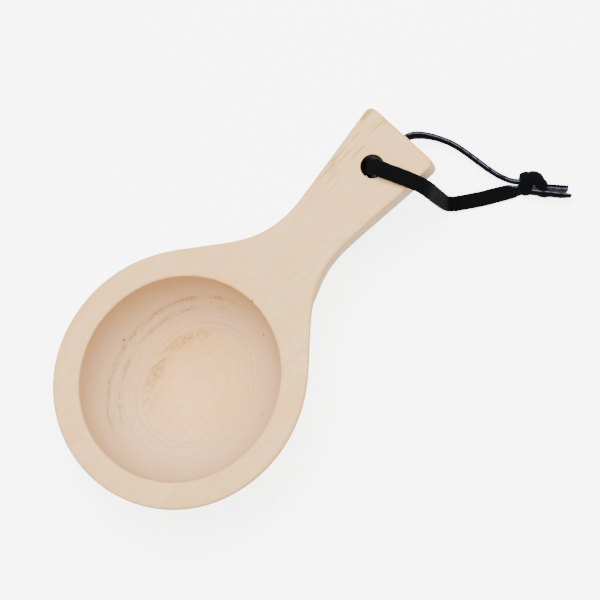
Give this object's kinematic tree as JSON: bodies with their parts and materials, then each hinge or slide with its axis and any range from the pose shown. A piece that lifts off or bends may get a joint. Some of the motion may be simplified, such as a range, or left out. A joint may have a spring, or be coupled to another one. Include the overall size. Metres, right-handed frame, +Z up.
{
  "type": "wooden cup with lace",
  "caption": "Round wooden drinking cup with a flat flared handle in one piece, and a knotted leather lace through a hole near the handle's end.",
  "frame": {"origin": "centre of the bowl's flat base, on the surface that it stands on", "axes": "+Z up through the bowl's mouth, +X from the bowl along the handle to its end"},
  "size_m": [0.2097, 0.1065, 0.0567],
  "materials": {
    "wood": "sanded bare pale wood with fine grain",
    "leather": "black leather, matt suede on one side and smooth on the other"
  },
  "bodies": {
    "cup": {"cup": "wood"},
    "lace": {"lace_strap": "leather", "lace_knot": "leather", "lace_tail_long": "leather", "lace_tail_short": "leather"}
  },
  "joints": [
    {"name": "lace_swivel", "type": "hinge", "parent": "cup", "child": "lace", "pos_m": [0.113, 0, 0.045], "axis": [0, 0, 1], "range_deg": [-45, 0]}
  ]
}
